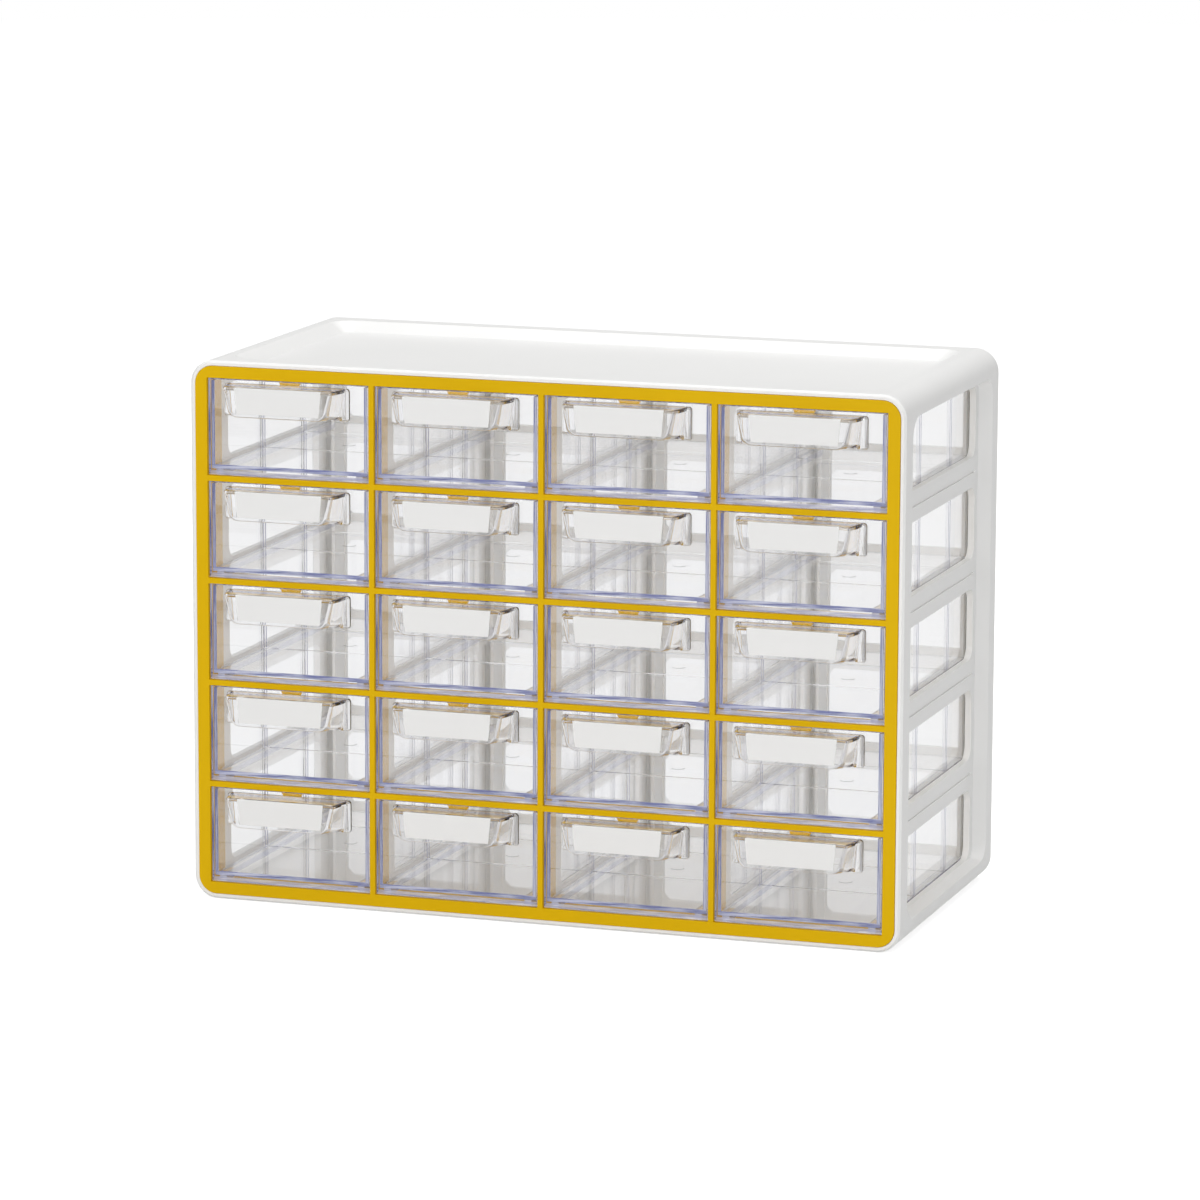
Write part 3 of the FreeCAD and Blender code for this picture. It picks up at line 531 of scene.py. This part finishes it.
def tub_mesh():
    """Tub with its runners, divider ribs and floor lines, as one closed solid."""
    front = PLATE_REAR + SEAM
    tub = block("tub", -TUB_X, TUB_X, front, TUB_REAR, TUB_UNDER, TUB_TOP)
    round_rear_corners(tub, 1.6 * MM)
    inner_x = TUB_X - WALL
    hollow = block("hollow", -inner_x, inner_x, front - MM, TUB_REAR - WALL,
                   TUB_FLOOR, TUB_TOP + 2 * MM)
    half_line = 0.8 * MM
    line_depth = 0.5 * MM
    lines = [block("line", -inner_x, inner_x, y - half_line, y + half_line,
                   TUB_FLOOR - line_depth, TUB_FLOOR + OVERLAP) for y in DIVIDERS]
    combine(tub, "DIFFERENCE", hollow, *lines)
    runner_inset = 2.7 * MM
    runner_width = 4 * MM
    extras = []
    for side in (-1, 1):
        outer = side * (TUB_X - runner_inset)
        inner = outer - side * runner_width
        extras.append(block("runner", min(inner, outer), max(inner, outer), front,
                            TUB_REAR - WALL, RUN_GAP, TUB_UNDER + OVERLAP))
        extras.extend(tub_ribs(side, inner_x))
    extras.append(gate_mark())
    combine(tub, "UNION", *extras)
    return tub


# Clear plastic first, then the three edge materials whose blue colour is painted light guided along
# the walls, over the plastic's own tint.
CLEAR_AND_EDGE_GLOW = (CLEAR, EDGE, FAINT, RIB)
PLAIN, TINT_AND_GLOW, PALE, HALF = range(len(CLEAR_AND_EDGE_GLOW))


def plate_glow_pick(normal, centre):
    """Which material a face of the front plate gets: plain clear, or an edge material with painted
    glow and shade.
    """
    if centre.y < PLATE_FRONT + NEAR:
        return PLAIN
    sideways = 0.5                       # a normal with this much x faces a side
    if centre.z < RUN_GAP + LOW_EDGE and abs(normal.x) < sideways:
        return PALE
    rim = 0.8 * MM
    at_side = abs(centre.x) > PLATE_X - rim
    at_top = centre.z > PLATE_TOP - rim
    return TINT_AND_GLOW if at_side or at_top else PLAIN


def tub_glow_pick(normal, centre):
    """Which material a face of the tub gets: plain clear, or an edge material with painted glow and
    shade.
    """
    straight = 0.9                       # a face whose normal is this near an axis looks along it
    rounding = 0.3 * MM
    if normal.z > straight and centre.z > TUB_TOP - rounding:
        return TINT_AND_GLOW
    if normal.y < -straight and centre.y < PLATE_REAR + rounding:
        return TINT_AND_GLOW if centre.z > TUB_UNDER - NEAR else PALE
    if abs(normal.x) > straight and centre.z < TUB_UNDER:
        return HALF
    tip = TUB_X - WALL - RIB_REACH
    if abs(normal.x) > straight and abs(abs(centre.x) - tip) < NEAR:
        return HALF
    return PLAIN


def drawer_mesh():
    """The whole drawer: the front plate's solid and the tub's, in one mesh."""
    plate = soften(front_plate_mesh(), 0.28 * MM, angle=50.0)
    tub = soften(tub_mesh(), 0.25 * MM)
    bm = bmesh.new()
    for piece, glow_pick in ((plate, plate_glow_pick), (tub, tub_glow_pick)):
        piece.data.materials.clear()
        for material in CLEAR_AND_EDGE_GLOW:
            piece.data.materials.append(material)
        for polygon in piece.data.polygons:
            polygon.material_index = glow_pick(polygon.normal, polygon.center)
        bm.from_mesh(piece.data)
        bpy.data.objects.remove(piece)
    mesh = bpy.data.meshes.new("clear_drawer")
    bm.to_mesh(mesh)
    bm.free()
    for material in CLEAR_AND_EDGE_GLOW:
        mesh.materials.append(material)
    whole = bpy.data.objects.new("clear_drawer", mesh)
    bpy.context.scene.collection.objects.link(whole)
    smooth(whole)
    mesh = whole.data
    bpy.data.objects.remove(whole)
    return mesh


def dress_drawers():
    """A clear drawer in place of each drawer node."""
    shape = drawer_mesh()
    first = Vector((CELL_X, FACE_Y, CELL_Z))
    for name in sorted(nodes):
        if not name.startswith("drawer_"):
            continue
        corner = Vector(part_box(name)[0])
        drawer = bpy.data.objects.new(f"clear_{name}", shape)
        bpy.context.scene.collection.objects.link(drawer)
        drawer.location = first + corner - Vector(low)
        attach(drawer, name)
        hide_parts(name)


# ---------------------------------------------------------------- case, grid and cards

def case_rounding(edge):
    """The share of the rounding: all of it around the outside of the side windows."""
    elsewhere = 0.36
    on_bed = all(abs(abs(vert.co.x) - SIDE_BED) < NEAR for vert in edge.verts)
    at_window = all(abs(vert.co.y) < WINDOW_END for vert in edge.verts)
    grooved = any(NEAR < abs(abs(vert.co.x) - SIDE_BED) < MM
                  for face in edge.link_faces for vert in face.verts)
    return 1.0 if on_bed and at_window and not grooved else elsewhere


def dress_solid(name, piece_name, body, material, rounding, segments=2, wider=None):
    """A softened copy of a CAD node in place of it."""
    piece = bpy.data.objects.new(piece_name, nodes[name].data.copy())
    bpy.context.scene.collection.objects.link(piece)
    piece.data.materials.clear()
    piece.data.materials.append(material)
    merge_flat(piece)
    soften(piece, rounding, segments, wider=wider)
    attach(piece, body)
    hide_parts(name)
    return piece


def dress_cabinet():
    """Rounded mouldings in place of the case, grid, partitions and rear panel."""
    dress_solid("case_shell", "white_case", "cabinet", WHITE, 2.2 * MM, 4,
                case_rounding)
    dress_solid("front_grid", "yellow_grid", "cabinet", YELLOW, 0.35 * MM)
    dress_solid("rear_panel", "white_rear", "cabinet", WHITE, 0.4 * MM)
    for number in (1, 2, 3):
        dress_solid(f"partition_{number}", f"white_partition_{number}", "cabinet", WHITE,
                    0.3 * MM)


def dress_cards():
    """A paper card in place of each label card, to the foot of its slot."""
    for name in sorted(nodes):
        if not name.startswith("label_card_"):
            continue
        card = bpy.data.objects.new(f"paper_{name}", nodes[name].data.copy())
        bpy.context.scene.collection.objects.link(card)
        card.data.materials.clear()
        card.data.materials.append(CARD)
        foot = min(vertex.co.z for vertex in card.data.vertices)
        middle = sum(corner[0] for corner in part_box(name)) / 2
        for vertex in card.data.vertices:
            if vertex.co.z < foot + NEAR:
                vertex.co.z -= CARD_DROP
                vertex.co.x += math.copysign(CARD_TAPER, middle - vertex.co.x)
        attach(card, name.replace("label_card", "drawer"))
        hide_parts(name)


# ---------------------------------------------------------------- studio

def pale_floor():
    """A white floor: shaded by the cabinet to the camera, and an even pale grey through glass."""
    material, tree, output = shader("pale_floor")
    ground = add(tree, "ShaderNodeBsdfDiffuse", Color=(FLOOR_TONE, FLOOR_TONE, FLOOR_TONE, 1))
    bounced = add(tree, "ShaderNodeBsdfDiffuse",
                  Color=(BOUNCE_TONE, BOUNCE_TONE, BOUNCE_TONE, 1))
    glow = add(tree, "ShaderNodeEmission", Color=(1, 1, 1, 1), Strength=FLOOR_GLOW)
    lit = tree.nodes.new("ShaderNodeAddShader")
    tree.links.new(ground.outputs["BSDF"], lit.inputs[0])
    tree.links.new(glow.outputs["Emission"], lit.inputs[1])
    even = add(tree, "ShaderNodeEmission", Color=(1, 1, 1, 1), Strength=SEEN_THROUGH)
    path = tree.nodes.new("ShaderNodeLightPath")
    bent = calculated(tree, "MAXIMUM", path.outputs["Is Glossy Ray"],
                      path.outputs["Is Transmission Ray"])
    seen = mixed(tree, path.outputs["Is Camera Ray"], bounced.outputs["BSDF"],
                 lit.outputs["Shader"])
    tree.links.new(mixed(tree, bent, seen, even.outputs["Emission"]), output.inputs["Surface"])
    bm = bmesh.new()
    bmesh.ops.create_circle(bm, cap_ends=True, segments=96, radius=6.0)
    floor = object_from(bm, "floor", material)
    floor.location.z = -0.2 * MM


def vector_step(tree, operation, source):
    """A vector worked out from another one."""
    node = tree.nodes.new("ShaderNodeVectorMath")
    node.operation = operation
    tree.links.new(source, node.inputs[0])
    return node


def panel_nearness(tree):
    """1 straight towards a side of the surroundings, and less towards a corner."""
    place = tree.nodes.new("ShaderNodeTexCoord")
    level = vector_step(tree, "MULTIPLY", place.outputs["Generated"])
    level.inputs[1].default_value = (1, 1, 0)
    heading = vector_step(tree, "NORMALIZE", level.outputs["Vector"])
    size = vector_step(tree, "ABSOLUTE", heading.outputs["Vector"])
    parts = tree.nodes.new("ShaderNodeSeparateXYZ")
    tree.links.new(size.outputs["Vector"], parts.inputs["Vector"])
    return calculated(tree, "MAXIMUM", parts.outputs["X"], parts.outputs["Y"])


def world_light():
    """White panels on four sides with dim gaps between them, and plain white to the camera."""
    world = bpy.data.worlds.new("studio")
    bpy.context.scene.world = world
    world.use_nodes = True
    tree = world.node_tree
    tree.nodes.clear()
    output = tree.nodes.new("ShaderNodeOutputWorld")
    ambient = add(tree, "ShaderNodeBackground", Color=(1, 1, 1, 1), Strength=AMBIENT)
    bent = add(tree, "ShaderNodeBackground", Color=(1, 1, 1, 1))
    strength = spread(tree, panel_nearness(tree), GAP, SEEN_THROUGH, low_at=0.78, high_at=0.9)
    tree.links.new(strength, bent.inputs["Strength"])
    seen = add(tree, "ShaderNodeBackground", Color=(1, 1, 1, 1), Strength=1.0)
    path = tree.nodes.new("ShaderNodeLightPath")
    through = mixed(tree, path.outputs["Is Transmission Ray"], ambient.outputs["Background"],
                    bent.outputs["Background"])
    tree.links.new(mixed(tree, path.outputs["Is Camera Ray"], through,
                         seen.outputs["Background"]), output.inputs["Surface"])


def soft_box(name, place, size, watts):
    """A soft lamp that faces the middle of the cabinet and isn't seen through the drawers."""
    data = bpy.data.lights.new(name, "AREA")
    data.shape = "RECTANGLE"
    data.size, data.size_y = size
    data.energy = watts
    lamp = bpy.data.objects.new(name, data)
    bpy.context.scene.collection.objects.link(lamp)
    lamp.location = place
    lamp.visible_transmission = False
    aim = CABINET_MIDDLE - lamp.location
    lamp.rotation_euler = aim.to_track_quat("-Z", "Y").to_euler()


def studio_camera():
    """A long lens to the right of the front, a little above the cabinet's middle."""
    yaw, pitch, roll = (math.radians(a) for a in (18.439, 10.362, 0.213))
    back = Vector((math.sin(yaw) * math.cos(pitch), -math.cos(yaw) * math.cos(pitch),
                   math.sin(pitch)))
    side = Vector((math.cos(yaw), math.sin(yaw), 0))
    up = back.cross(side)
    right = math.cos(roll) * side + math.sin(roll) * up
    above = -math.sin(roll) * side + math.cos(roll) * up
    data = bpy.data.cameras.new("camera")
    data.sensor_width = 36.0
    data.lens = 173.6
    data.clip_end = 50.0
    camera = bpy.data.objects.new("camera", data)
    bpy.context.scene.collection.objects.link(camera)
    place = (1.0016, -3.0, 0.7417)
    turn = Matrix((right, above, back)).transposed()
    camera.matrix_world = Matrix.Translation(place) @ turn.to_4x4()
    bpy.context.scene.camera = camera


dress_drawers()
dress_cabinet()
dress_cards()
pale_floor()
world_light()
soft_box("key", place=(-2.0, -4.0, 2.0), size=(2.4, 2.4), watts=33)
soft_box("front", place=(0.6, -4.0, 0.4), size=(2.4, 1.6), watts=52)
soft_box("top", place=(0.2, 0.3, 2.4), size=(1.8, 1.8), watts=30)
soft_box("side", place=(2.2, -3.2, 0.7), size=(1.6, 1.2), watts=9)
studio_camera()

scene = bpy.context.scene
scene.view_settings.view_transform = "Standard"
scene.cycles.max_bounces = 24
scene.cycles.transmission_bounces = 24
scene.cycles.glossy_bounces = 8
scene.cycles.diffuse_bounces = 12
scene.cycles.transparent_max_bounces = 48
